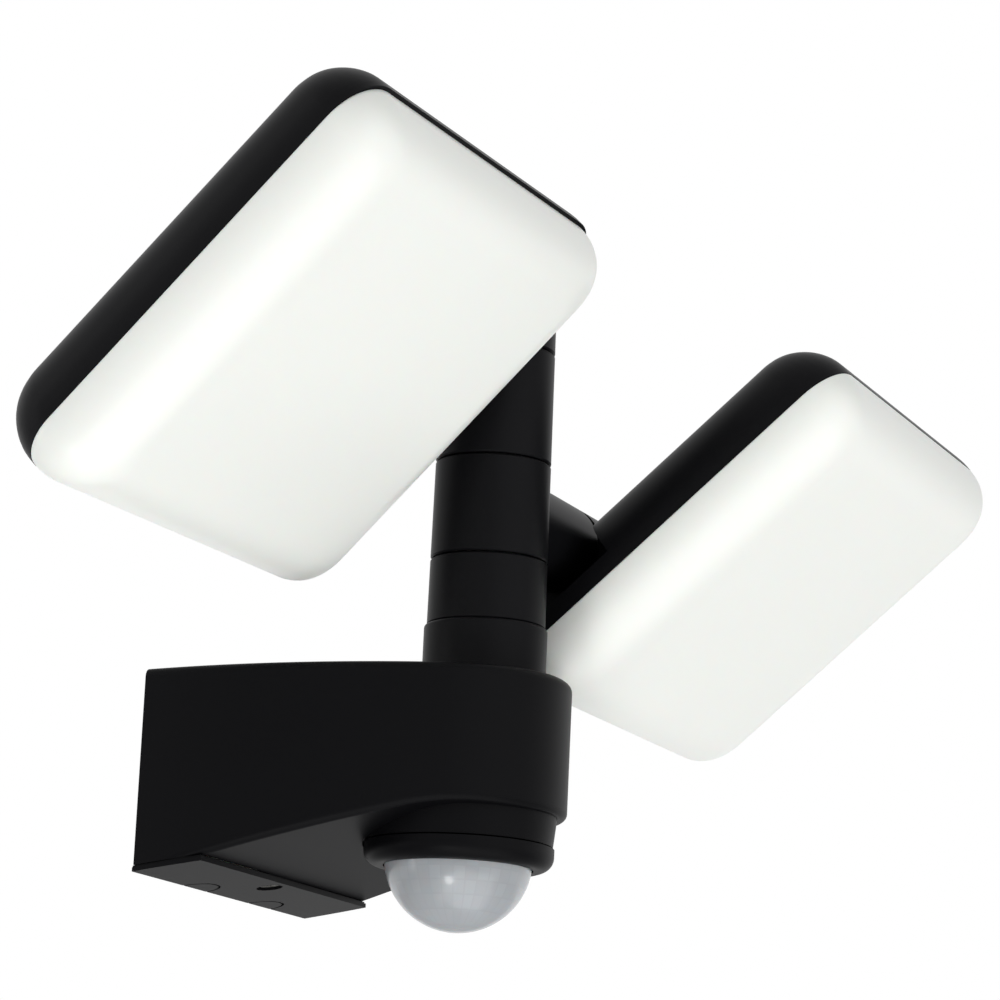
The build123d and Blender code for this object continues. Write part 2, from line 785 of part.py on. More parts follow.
def build_hub(name, side, pan, bottom, top, axis_level):
    """Turning hub of a head: a length of the pole with the stub that carries the head."""
    stub = Plane(
        origin=pole_point + Vector(0, 0, axis_level),
        x_dir=(0, 0, 1),
        z_dir=Vector(side, 0, 0).rotate(Axis.Z, pan),
    )
    with BuildPart() as stub_arm:
        with BuildSketch(stub):
            Circle(stub_radius)
        extrude(amount=stub_reach)
        fillet(stub_arm.faces().sort_by(Axis(stub.origin, stub.z_dir))[-1].edges(), radius=stub_end_round)
        with BuildSketch(stub.offset(stub_reach)):
            Circle(nipple_radius)
        extrude(amount=nipple_length)
    with BuildPart() as hub:
        add(pole_length(bottom, top))
        add(stub_arm.part)
        with BuildSketch(pole_plane.offset(bottom)):
            Circle(rod_radius + rod_clearance)
        extrude(amount=top - bottom, mode=Mode.SUBTRACT)
        # channel for the head's cable
        with BuildSketch(stub):
            Circle(cable_channel_radius)
        extrude(amount=stub_reach + nipple_length, mode=Mode.SUBTRACT)
        if top == upper_hub_top:
            with BuildSketch(pole_plane.offset(top)):
                Circle(cap_nut_radius + nut_margin)
            extrude(amount=-cap_recess, mode=Mode.SUBTRACT)
    save(hub.part, name)
    return hub.part


build_hub("lower_hub", 1, right_pan, lower_joint + joint_gap / 2, middle_joint - joint_gap / 2, lower_axis)
build_hub("upper_hub", -1, left_pan, upper_joint + joint_gap / 2, upper_hub_top, upper_axis)

with BuildPart() as cap_nut:
    with BuildSketch(pole_plane.offset(upper_hub_top - cap_recess)):
        RegularPolygon(radius=cap_nut_radius, side_count=6)
        Circle(rod_radius + rod_fit, mode=Mode.SUBTRACT)
    extrude(amount=cap_nut_thickness)
save(cap_nut.part, "cap_nut")

with BuildPart() as pole_cap:
    with BuildSketch(pole_plane.offset(upper_hub_top)):
        Circle(pole_radius(upper_hub_top) - joint_chamfer)
    extrude(amount=cap_height)
    fillet(pole_cap.edges().group_by(Axis.Z)[-1], radius=cap_round)
    with BuildSketch(pole_plane.offset(upper_hub_top)):
        Circle(cap_nut_radius + nut_margin - screw_fit)
    extrude(amount=-cap_plug)
save(pole_cap.part, "pole_cap")

# ================================================================ heads
right_seam = head_plane(1, lower_axis, right_tilt, right_pan)
left_seam = head_plane(-1, upper_axis, left_tilt, left_pan)


def tray(plane, inset, depth, draft, edge_round):
    """Solid with the plan of a head: drafted sides and a rounded far edge."""
    with BuildPart() as solid:
        with BuildSketch(plane):
            RectangleRounded(head_width - 2 * inset, head_length - 2 * inset, head_corner - inset)
        extrude(amount=depth, taper=draft)
        far_face = solid.faces().sort_by(Axis(plane.origin, plane.z_dir))[-1]
        fillet(far_face.edges(), radius=edge_round)
    return solid.part


def diffuser_form(plane, inset):
    """Solid with the diffuser's form: sides up to a soft ridge, then a shallow slope to the flat face."""
    side = front_side - inset / 2
    ridge_inset = inset + tan(radians(front_draft)) * side
    with BuildPart() as solid:
        with BuildSketch(plane):
            RectangleRounded(head_width - 2 * inset, head_length - 2 * inset, head_corner - inset)
        extrude(amount=side, taper=front_draft)
        with BuildSketch(plane.offset(side)):
            RectangleRounded(
                head_width - 2 * ridge_inset, head_length - 2 * ridge_inset, head_corner - ridge_inset
            )
        extrude(amount=front_depth - inset - side, taper=front_slope)
    return solid.part


def build_head(side_name, seam):
    """All pieces of one head, on the plane of its seam."""
    rear = Plane(origin=seam.origin, x_dir=seam.x_dir, z_dir=-seam.z_dir)
    front_plane = seam.offset(seal_thickness)
    board_plane = seam.offset(led_board_underside)
    board_top_plane = board_plane.offset(board_thickness)
    floor_plane = seam.offset(-rear_depth + rear_wall)
    knuckle_start = pocket_reach - head_width / 2
    pivot = pivot_plane(seam, knuckle_start)

    rear_form = tray(rear, 0, rear_depth, rear_draft, rear_round)
    rear_hollow = tray(rear, rear_wall, rear_depth - rear_wall, rear_draft, rear_round - rear_wall)
    # walls of the pocket and bosses for the light board, both ending at the outer form
    with BuildPart() as inner_forms:
        with BuildSketch(seam.offset(pocket_wall - pocket_roof)):
            with Locations((knuckle_start - pocket_reach / 2, -head_lead)):
                Rectangle(pocket_reach + 2 * pocket_wall, 2 * (pocket_half + pocket_wall))
        extrude(amount=-rear_depth)
        with BuildSketch(board_plane):
            with GridLocations(2 * board_screw_x, 2 * board_screw_y, 2, 2):
                Circle(board_boss_radius)
        extrude(amount=-rear_depth)
        add(rear_form, mode=Mode.INTERSECT)
    with BuildPart() as knuckle:
        with BuildSketch(pivot):
            Circle(stub_radius)
        extrude(amount=knuckle_length)
        fillet(knuckle.faces().sort_by(Axis(pivot.origin, pivot.z_dir))[-1].edges(), radius=knuckle_round)
    with BuildPart() as housing:
        add(rear_form)
        add(rear_hollow, mode=Mode.SUBTRACT)
        add(inner_forms.part)
        with BuildSketch(seam.offset(-pocket_roof)):
            with Locations((knuckle_start - pocket_reach, -head_lead)):
                Rectangle(2 * pocket_reach, 2 * pocket_half)
        extrude(amount=-rear_depth, mode=Mode.SUBTRACT)
        add(knuckle.part)
        # screw holes in the bosses
        with BuildSketch(board_plane):
            with GridLocations(2 * board_screw_x, 2 * board_screw_y, 2, 2):
                Circle(board_screw_radius)
        extrude(amount=-board_screw_length, mode=Mode.SUBTRACT)
        # chamber behind the knuckle's wall, open to the inside of the head
        with BuildSketch(pivot.offset(knuckle_wall)):
            Circle(chamber_radius)
        extrude(amount=chamber_length, mode=Mode.SUBTRACT)
        with BuildSketch(floor_plane):
            with Locations((knuckle_start + knuckle_wall + chamber_length / 2, -head_lead)):
                Rectangle(chamber_length, 2 * chamber_radius)
        extrude(amount=rear_depth - rear_wall - head_drop, mode=Mode.SUBTRACT)
        with BuildSketch(pivot):
            Circle(nipple_radius + pivot_clearance)
        extrude(amount=knuckle_wall, mode=Mode.SUBTRACT)
    save(housing.part, f"{side_name}_head_housing")

    with BuildPart() as seal:
        with BuildSketch(seam):
            seal_corner = head_corner - seal_inset
            RectangleRounded(head_width - 2 * seal_inset, head_length - 2 * seal_inset, seal_corner)
            inner_corner = head_corner - rear_wall
            RectangleRounded(
                head_width - 2 * rear_wall, head_length - 2 * rear_wall, inner_corner, mode=Mode.SUBTRACT
            )
        extrude(amount=seal_thickness)
    save(seal.part, f"{side_name}_head_seal")

    outward = Axis(front_plane.origin, front_plane.z_dir)
    with BuildPart() as diffuser:
        add(diffuser_form(front_plane, 0))
        fillet(diffuser.faces().sort_by(outward)[-1].edges(), radius=front_round)
        ridge = diffuser.edges().filter_by_position(outward, front_side - edge_search, front_side + edge_search)
        fillet(ridge, radius=front_ridge_round)
        add(diffuser_form(front_plane, front_wall), mode=Mode.SUBTRACT)
        with BuildSketch(front_plane):
            RectangleRounded(head_width - front_wall, head_length - front_wall, head_corner - front_wall / 2)
            RectangleRounded(
                head_width - 2 * rim_inner, head_length - 2 * rim_inner, head_corner - rim_inner, mode=Mode.SUBTRACT
            )
        extrude(amount=rim_wall)
        with BuildSketch(front_plane):
            RectangleRounded(head_width - 2 * rim_outer, head_length - 2 * rim_outer, head_corner - rim_outer)
            RectangleRounded(
                head_width - 2 * rim_inner, head_length - 2 * rim_inner, head_corner - rim_inner, mode=Mode.SUBTRACT
            )
        extrude(amount=-rim_depth)
    save(diffuser.part, f"{side_name}_diffuser")

    with BuildPart() as led_board:
        with BuildSketch(board_plane):
            RectangleRounded(
                head_width - 2 * led_board_margin, head_length - 2 * led_board_margin, led_board_corner
            )
            with GridLocations(2 * board_screw_x, 2 * board_screw_y, 2, 2):
                Circle(board_screw_radius + screw_fit, mode=Mode.SUBTRACT)
        extrude(amount=board_thickness)
    save(led_board.part, f"{side_name}_led_board")

    with BuildPart() as leds:
        with BuildSketch(board_top_plane):
            with GridLocations(led_pitch_x, led_pitch_y, led_columns, led_rows):
                Rectangle(led_width, led_depth)
        extrude(amount=led_height)
    save(leds.part, f"{side_name}_leds")

    with BuildPart() as board_screws:
        with BuildSketch(board_top_plane):
            with GridLocations(2 * board_screw_x, 2 * board_screw_y, 2, 2):
                Circle(board_screw_head_radius)
        extrude(amount=board_screw_head_height)
        with BuildSketch(board_top_plane):
            with GridLocations(2 * board_screw_x, 2 * board_screw_y, 2, 2):
                Circle(board_screw_radius)
        extrude(amount=-board_screw_length)
    save(board_screws.part, f"{side_name}_board_screws")

    with BuildPart() as led_driver:
        with BuildSketch(floor_plane):
            with Locations((driver_x, driver_y)):
                RectangleRounded(driver_length, driver_width, driver_corner)
        extrude(amount=driver_height)
    save(led_driver.part, f"{side_name}_led_driver")

    with BuildPart() as tilt_washer:
        with BuildSketch(pivot):
            Circle(stub_radius - washer_inset)
            Circle(nipple_radius + pivot_clearance, mode=Mode.SUBTRACT)
        extrude(amount=-washer_thickness)
    save(tilt_washer.part, f"{side_name}_tilt_washer")

    with BuildPart() as tilt_nut:
        with BuildSketch(pivot.offset(knuckle_wall)):
            RegularPolygon(radius=tilt_nut_radius, side_count=6)
            Circle(nipple_radius, mode=Mode.SUBTRACT)
        extrude(amount=tilt_nut_thickness)
    save(tilt_nut.part, f"{side_name}_tilt_nut")


build_head("right", right_seam)
build_head("left", left_seam)
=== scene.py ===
"""Looks of a wall-mounted security light with two flood heads and a motion sensor.

The CAD pieces keep their shapes. This file gives each one its real material, makes the heads' opal
diffusers with their full round edge and the seals behind them, adds a black strip on the wall
plate's lip that fills the gap under the housing as painted shade, and sets up the studio. Lengths
are in metres, or in millimetres where a class says so.
"""

import logging
import math
from dataclasses import dataclass, field
from enum import Enum

import bmesh
import bpy
from mathutils import Matrix, Vector

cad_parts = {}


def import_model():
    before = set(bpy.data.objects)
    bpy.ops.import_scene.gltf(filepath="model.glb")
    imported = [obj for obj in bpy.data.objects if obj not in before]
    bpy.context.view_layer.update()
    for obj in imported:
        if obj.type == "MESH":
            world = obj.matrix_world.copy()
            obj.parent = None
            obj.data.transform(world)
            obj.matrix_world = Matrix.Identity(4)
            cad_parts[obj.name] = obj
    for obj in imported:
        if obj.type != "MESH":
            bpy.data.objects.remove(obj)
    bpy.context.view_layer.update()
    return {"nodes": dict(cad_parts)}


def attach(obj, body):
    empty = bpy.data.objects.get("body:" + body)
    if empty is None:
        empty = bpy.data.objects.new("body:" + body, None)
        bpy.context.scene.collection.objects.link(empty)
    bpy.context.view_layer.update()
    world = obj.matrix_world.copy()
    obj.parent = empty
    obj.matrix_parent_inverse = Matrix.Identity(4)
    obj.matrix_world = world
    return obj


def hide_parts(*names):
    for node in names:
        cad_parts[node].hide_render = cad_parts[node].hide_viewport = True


log = logging.getLogger("security_light")
MM = 0.001
QUARTER_TURN = math.pi / 2
WHITE = "#FFFFFF"
# Noise octaves of the slow drift in tone and of the fine grain, and where the drift's ramp ends.
DRIFT_DETAIL = 3.0
GRAIN_DETAIL = 2.0
DRIFT_STOPS = (0.3, 0.7)

Colour = tuple[float, float, float, float]
# A node's input takes another node's socket or a plain value.
NodeInput = object


def srgb(code: str) -> Colour:
    """Turn an sRGB hex code into linear colour.

    Args:
        code: six hex digits with a leading hash.

    Returns:
        Linear red, green, blue and an alpha of one.
    """
    parts = [int(code[i : i + 2], 16) / 255 for i in (1, 3, 5)]
    linear = [c / 12.92 if c <= 0.04045 else ((c + 0.055) / 1.055) ** 2.4 for c in parts]
    return (linear[0], linear[1], linear[2], 1.0)


def shade(colour: Colour, factor: float) -> Colour:
    """Make a colour lighter or darker.

    Args:
        colour: linear colour with alpha.
        factor: what its red, green and blue are multiplied by.

    Returns:
        The new colour, no channel above one, with an alpha of one.
    """
    red, green, blue = (min(1.0, channel * factor) for channel in colour[:3])
    return (red, green, blue, 1.0)


def add_node(
    tree: bpy.types.NodeTree,
    kind: str,
    settings: dict[str, object] | None = None,
    inputs: dict[str | int, NodeInput] | None = None,
) -> bpy.types.Node:
    """Add one shader node with its settings and links.

    Args:
        tree: node tree that gets the node.
        kind: Blender's type name of the node.
        settings: properties to set on the node.
        inputs: value, or output socket to link, for each named input.

    Returns:
        The new node.
    """
    node = tree.nodes.new(kind)
    for name, value in (settings or {}).items():
        setattr(node, name, value)
    for name, value in (inputs or {}).items():
        if isinstance(value, bpy.types.NodeSocket):
            tree.links.new(value, node.inputs[name])
        else:
            node.inputs[name].default_value = value
    return node


def calculate(tree: bpy.types.NodeTree, operation: str, *values: NodeInput) -> bpy.types.NodeSocket:
    """Add one maths node.

    Args:
        tree: node tree that gets the node.
        operation: Blender's name of the operation.
        values: value or output socket of each input, in order.

    Returns:
        Socket of the result.
    """
    node = add_node(tree, "ShaderNodeMath", {"operation": operation}, dict(enumerate(values)))
    return node.outputs[0]


def link_object(name: str, data: bpy.types.ID) -> bpy.types.Object:
    """Make an object and put it in the scene.

    Args:
        name: name of the new object.
        data: its mesh, lamp or camera.

    Returns:
        The new object.
    """
    obj = bpy.data.objects.new(name, data)
    bpy.context.scene.collection.objects.link(obj)
    return obj


def finish_form(form: bmesh.types.BMesh, name: str) -> bpy.types.Object:
    """Turn a form into an object of the scene and free the form.

    Args:
        form: the form, with all its faces.
        name: name of the new object and its mesh.

    Returns:
        The new object.
    """
    mesh = bpy.data.meshes.new(name)
    form.to_mesh(mesh)
    form.free()
    return link_object(name, mesh)


def set_ramp(node: bpy.types.Node, stops: list[tuple[float, Colour]]) -> None:
    """Put colour stops on a colour ramp.

    Args:
        node: the ramp node.
        stops: position and colour of each stop, in order.
    """
    elements = node.color_ramp.elements
    while len(elements) < len(stops):
        elements.new(0.5)
    for element, (position, colour) in zip(elements, stops):
        element.position = position
        element.color = colour


# ---------------------------------------------------------------------------------------------
# Finishes
# ---------------------------------------------------------------------------------------------


@dataclass(frozen=True)
class Finish:
    """A material made from what the real surface is.

    Attributes:
        name: real material and how it was made.
        colour: sRGB hex code of the surface.
        roughness: microscopic roughness.
        ior: index of refraction.
        metallic: one for bare metal.
        specular: strength of the mirror reflection, half for a plain surface.
        subsurface: share of the light that sinks in.
        subsurface_mm: how deep it sinks.
        grain_mm: size of the surface's grain.
        grain_depth_mm: height of the grain.
        mottle: share by which the tone drifts.
        mottle_mm: size of the drift.
        coat: strength of a thin gloss on top.
        coat_roughness: roughness of that gloss.
    """

    name: str
    colour: str
    roughness: float
    ior: float = 1.5
    metallic: float = 0.0
    specular: float = 0.5
    subsurface: float = 0.0
    subsurface_mm: float = 1.5
    grain_mm: float = 0.4
    grain_depth_mm: float = 0.01
    mottle: float = 0.06
    mottle_mm: float = 30.0
    coat: float = 0.0
    coat_roughness: float = 0.12

    def build(self) -> bpy.types.Material:
        """Make the material, with a fine surface grain and a slow drift in tone.

        Returns:
            The finished material.
        """
        material = bpy.data.materials.new(self.name)
        material.use_nodes = True
        tree = material.node_tree
        tree.nodes.clear()
        place = add_node(tree, "ShaderNodeTexCoord")
        self.connect(tree, place.outputs["Object"])
        return material

    def surface(self, tree: bpy.types.NodeTree, colour: NodeInput, normal: NodeInput) -> None:
        """Join colour and relief into the surface shader.

        Args:
            tree: the material's nodes.
            colour: base colour or its socket.
            normal: socket of the relief.
        """
        shader = add_node(
            tree,
            "ShaderNodeBsdfPrincipled",
            None,
            {
                "Base Color": colour,
                "Metallic": self.metallic,
                "Roughness": self.roughness,
                "IOR": self.ior,
                "Specular IOR Level": self.specular,
                "Subsurface Weight": self.subsurface,
                "Subsurface Scale": self.subsurface_mm * MM,
                "Coat Weight": self.coat,
                "Coat Roughness": self.coat_roughness,
                "Normal": normal,
            },
        )
        add_node(tree, "ShaderNodeOutputMaterial", None, {"Surface": shader.outputs[0]})

    def drift(self, tree: bpy.types.NodeTree, place: bpy.types.NodeSocket) -> bpy.types.NodeSocket:
        """Slow change of tone over the surface, as moulded and worn parts have.

        Args:
            tree: the material's nodes.
            place: coordinate socket in metres.

        Returns:
            Socket of the base colour.
        """
        cloud = add_node(
            tree,
            "ShaderNodeTexNoise",
            None,
            {"Vector": place, "Scale": 1 / (self.mottle_mm * MM), "Detail": DRIFT_DETAIL},
        )
        base = srgb(self.colour)
        tones = (shade(base, 1 - self.mottle), shade(base, 1 + self.mottle))
        ramp = add_node(tree, "ShaderNodeValToRGB", None, {"Fac": cloud.outputs["Fac"]})
        set_ramp(ramp, list(zip(DRIFT_STOPS, tones)))
        return ramp.outputs["Color"]

    def relief(self, tree: bpy.types.NodeTree, place: bpy.types.NodeSocket) -> bpy.types.NodeSocket:
        """Fine grain of the mould or of the metal.

        Args:
            tree: the material's nodes.
            place: coordinate socket in metres.

        Returns:
            Socket of the bumped normal.
        """
        grain = add_node(
            tree,
            "ShaderNodeTexNoise",
            None,
            {"Vector": place, "Scale": 1 / (self.grain_mm * MM), "Detail": GRAIN_DETAIL},
        )
        bump = add_node(
            tree,
            "ShaderNodeBump",
            None,
            {"Height": grain.outputs["Fac"], "Strength": 1.0, "Distance": self.grain_depth_mm * MM},
        )
        return bump.outputs["Normal"]

    def connect(self, tree: bpy.types.NodeTree, place: bpy.types.NodeSocket) -> None:
        """Wire the whole finish.

        Args:
            tree: the material's nodes.
            place: coordinate socket in metres.
        """
        self.surface(tree, self.drift(tree, place), self.relief(tree, place))


@dataclass(frozen=True)
class FacetedLens(Finish):
    """Milky polyethylene lens with rows of small flat lenses moulded inside it.

    Attributes:
        row_mm: height of a row of facets.
        columns: facets in a full turn.
        line_share: share of a facet that the line beside it takes up.
        cell_drift: share by which the facets' tones differ. The lines are darker by mottle.
        axis_y: where the lens's upright axis lies, in metres; it is at x = 0.
    """

    row_mm: float = 3.2
    columns: int = 36
    line_share: float = 0.2
    cell_drift: float = 0.035
    axis_y: float = -0.062408

    def count_cells(
        self, tree: bpy.types.NodeTree, value: bpy.types.NodeSocket
    ) -> tuple[bpy.types.NodeSocket, bpy.types.NodeSocket]:
        """Number the cells along one direction and mark the line between them.

        Args:
            tree: the material's nodes.
            value: place along the direction, in cells.

        Returns:
            Socket of the cell's number and socket that is one on the line.
        """
        number = calculate(tree, "FLOOR", value)
        within = calculate(tree, "FRACT", value)
        line = add_node(
            tree,
            "ShaderNodeMapRange",
            {"interpolation_type": "SMOOTHSTEP"},
            {"Value": within, "From Min": self.line_share, "From Max": 0.0},
        )
        return number, line.outputs[0]

    def connect(self, tree: bpy.types.NodeTree, place: bpy.types.NodeSocket) -> None:
        """Wire the finish: rows and columns of facets that show through the milky wall.

        Args:
            tree: the material's nodes.
            place: coordinate socket in metres.
        """
        split = add_node(tree, "ShaderNodeSeparateXYZ", None, {"Vector": place})
        across = calculate(tree, "SUBTRACT", split.outputs["Y"], self.axis_y)
        angle = calculate(tree, "ARCTAN2", across, split.outputs["X"])
        rows = calculate(tree, "MULTIPLY", split.outputs["Z"], 1 / (self.row_mm * MM))
        turns = calculate(tree, "MULTIPLY", angle, self.columns / (2 * math.pi))
        row, row_line = self.count_cells(tree, rows)
        column, column_line = self.count_cells(tree, turns)
        cell = add_node(tree, "ShaderNodeCombineXYZ", None, {"X": row, "Y": column})
        chance = add_node(tree, "ShaderNodeTexWhiteNoise", None, {"Vector": cell.outputs[0]})
        base = srgb(self.colour)
        ramp = add_node(tree, "ShaderNodeValToRGB", None, {"Fac": chance.outputs["Value"]})
        set_ramp(ramp, [(0.0, shade(base, 1 - self.cell_drift)), (1.0, shade(base, 1 + self.cell_drift))])
        lines = calculate(tree, "MAXIMUM", row_line, column_line)
        # Inputs 6 and 7 and output 2 are the node's colour ones.
        tone = add_node(
            tree,
            "ShaderNodeMix",
            {"data_type": "RGBA"},
            {0: lines, 6: ramp.outputs["Color"], 7: shade(base, 1 - self.mottle)},
        )
        bump = add_node(
            tree,
            "ShaderNodeBump",
            {"invert": True},
            {"Height": lines, "Strength": 1.0, "Distance": self.grain_depth_mm * MM},
        )
        self.surface(tree, tone.outputs[2], bump.outputs["Normal"])


class Finishes(Enum):
    """Every finish on this light, named for the real material and how it was made."""

    # Moulded ABS with a fine spark-eroded skin: near black, satin, soft broad reflections.
    BLACK_ABS = Finish(
        "black_abs_spark_eroded", "#08080A", 0.44, 1.53, specular=0.055, grain_mm=0.35, grain_depth_mm=0.004
    )
    # The same plastic from a mould of coarser grain, on the pole and the heads: a shade greyer.
    BLACK_ABS_MATT = Finish(
        "black_abs_fine_texture", "#0F0F11", 0.4, 1.53, specular=0.055, grain_mm=0.45, grain_depth_mm=0.004
    )
    # Opal polycarbonate: bright, even, barely glossy, light sinks a little into it.
    OPAL_PC = Finish(
        "opal_polycarbonate_moulded", "#F2F4EF", 0.34, 1.58, specular=0.4, subsurface=0.12, grain_mm=0.8,
        grain_depth_mm=0.001, mottle=0.006, mottle_mm=60.0,
    )
    # Milky polyethylene lens: waxy grey, with rows of facets that show faintly from inside.
    LENS_PE = FacetedLens(
        "milky_polyethylene_lens", "#9CA0A4", 0.32, 1.51, subsurface=0.2, grain_depth_mm=0.002, mottle=0.05,
        coat=0.45,
    )
    # EPDM rubber: dead matt black.
    EPDM = Finish(
        "epdm_rubber_extruded", "#1B1B1B", 0.8, 1.52, specular=0.3, grain_mm=0.5, grain_depth_mm=0.01
    )
    # Bright zinc on steel: soft grey metal with a slightly uneven shine.
    ZINC_STEEL = Finish(
        "zinc_plated_steel", "#A9A8A3", 0.34, metallic=1.0, grain_mm=0.2, grain_depth_mm=0.003, mottle_mm=4.0
    )
    # Natural nylon: waxy off-white.
    NYLON = Finish(
        "natural_nylon_turned", "#D9D6CB", 0.45, 1.53, subsurface=0.1, grain_mm=0.5, grain_depth_mm=0.004
    )
    # Black nylon of the tilt joint's washers: dull, so that the joint reads as one dark crease.
    BLACK_NYLON = Finish(
        "black_nylon_turned", "#121213", 0.55, 1.53, specular=0.1, grain_mm=0.5, grain_depth_mm=0.004
    )
    # White solder mask on glass-epoxy: flat white, thinly glossy.
    WHITE_BOARD = Finish(
        "white_solder_mask_board", "#E6E8E4", 0.4, 1.5, coat=0.2, grain_mm=0.6, grain_depth_mm=0.004
    )
    # Green solder mask on glass-epoxy.
    GREEN_BOARD = Finish(
        "green_solder_mask_board", "#1E5A3A", 0.38, 1.5, coat=0.2, grain_mm=0.6, grain_depth_mm=0.004
    )
    # Phosphor cast in silicone: yellow, soft.
    PHOSPHOR = Finish(
        "led_phosphor_silicone", "#E8C45A", 0.3, 1.41, subsurface=0.1, grain_mm=0.2, grain_depth_mm=0.003
    )
    # Filled PBT cases of small components: dull blue-grey.
    PBT_CASE = Finish("pbt_component_case", "#2B333B", 0.5, 1.55, grain_mm=0.3, grain_depth_mm=0.006)
    # Nickel-plated can of the motion sensor.
    NICKEL_CAN = Finish(
        "nickel_plated_can", "#B9B5AC", 0.28, metallic=1.0, grain_mm=0.3, grain_depth_mm=0.002, mottle_mm=5.0
    )


class FinishBook:
    """Builds each finish once and hands it out."""

    def __init__(self) -> None:
        """Start with nothing built."""
        self.built: dict[Finishes, bpy.types.Material] = {}

    def get(self, finish: Finishes) -> bpy.types.Material:
        """Return the material of a finish, building it on first use.

        Args:
            finish: which finish.

        Returns:
            Its material.
        """
        if finish not in self.built:
            self.built[finish] = finish.value.build()
        return self.built[finish]


# ---------------------------------------------------------------------------------------------
# Moulded forms
# ---------------------------------------------------------------------------------------------


@dataclass(frozen=True)
class ProfilePoint:
    """One point of a moulding's section.

    Attributes:
        inset: how far in from the outline.
        level: how high.
        sharp: whether the edge there is sharp, and else it is shaded smooth.
    """

    inset: float
    level: float
    sharp: bool = False


@dataclass(frozen=True)
class SquareMoulding:
    """A square moulding with round corners, made by carrying one section round its outline.

    Attributes:
        width: width of the outline, in millimetres, as are the other lengths.
        length: length of the outline.
        corner: radius of its corners.
        least_corner: radius that a corner never falls below, however far in.
        corner_steps: steps round each corner.
        side_steps: steps along each side.
    """

    width: float
    length: float
    corner: float
    least_corner: float = 4.0
    corner_steps: int = 18
    side_steps: int = 10

    def ring(self, inset: float) -> list[tuple[float, float]]:
        """Outline at one inset; its corners shrink smoothly and never become sharp.

        Args:
            inset: distance in from the full outline.

        Returns:
            Points of the outline, in order round it.
        """
        spare = self.corner - self.least_corner
        radius = self.least_corner + spare * math.exp(-max(inset, 0.0) / spare)
        half_width, half_length = self.width / 2 - inset, self.length / 2 - inset
        points: list[tuple[float, float]] = []
        for quarter in range(4):
            turn = QUARTER_TURN * quarter
            diagonal = turn + QUARTER_TURN / 2
            toward = (math.cos(diagonal), math.sin(diagonal))
            centre = (
                math.copysign(half_width - radius, toward[0]),
                math.copysign(half_length - radius, toward[1]),
            )
            for step in range(self.corner_steps + 1):
                angle = turn + QUARTER_TURN * step / self.corner_steps
                points.append((centre[0] + radius * math.cos(angle), centre[1] + radius * math.sin(angle)))
        filled: list[tuple[float, float]] = []
        count = len(points)
        for index, point in enumerate(points):
            filled.append(point)
            if (index + 1) % (self.corner_steps + 1) == 0:
                after = points[(index + 1) % count]
                for step in range(1, self.side_steps):
                    share = step / self.side_steps
                    filled.append(
                        (point[0] + (after[0] - point[0]) * share, point[1] + (after[1] - point[1]) * share)
                    )
        return filled

    def build(
        self, name: str, section: list[ProfilePoint], place: Matrix, looped: bool = False
    ) -> bpy.types.Object:
        """Make the moulding's mesh.

        Args:
            name: name of the new object.
            section: points of the section, from the outer face round to the inner face.
            place: turns the moulding's millimetres into the model's metres.
            looped: join the last ring to the first, and else close both with flat faces.

        Returns:
            The new object.
        """
        form = bmesh.new()
        rings = [
            [form.verts.new(place @ Vector((x, y, point.level))) for x, y in self.ring(point.inset)]
            for point in section
        ]
        count = len(rings[0])
        if not looped:
            form.faces.new(rings[0])
            form.faces.new(list(reversed(rings[-1])))
        for upper, lower in zip(rings, rings[1:] + (rings[:1] if looped else [])):
            for index in range(count):
                after = (index + 1) % count
                form.faces.new((upper[after], upper[index], lower[index], lower[after]))
        for face in form.faces:
            face.smooth = True
        bmesh.ops.recalc_face_normals(form, faces=form.faces)
        form.edges.ensure_lookup_table()
        for ring, point in zip(rings, section):
            if point.sharp:
                for index in range(count):
                    form.edges.get((ring[index], ring[(index + 1) % count])).smooth = False
        return finish_form(form, name)


# ---------------------------------------------------------------------------------------------
# Sub-assemblies
# ---------------------------------------------------------------------------------------------


@dataclass
class SubAssembly:
    """A group of pieces that belong together on the real light."""

    nodes: dict[str, bpy.types.Object]
    book: FinishBook

    def finishes(self) -> dict[str, Finishes]:
        """Finish of each CAD node in the group."""
        return {}

    def dress(self) -> None:
        """Give each CAD node its material."""
        for name, finish in self.finishes().items():
            obj = self.nodes[name]
            material = self.book.get(finish)
            obj.data.materials.clear()
            obj.data.materials.append(material)
            log.info("dressed %s with %s", name, material.name)

    def build(self) -> None:
        """Add the group's own pieces; most groups need none."""


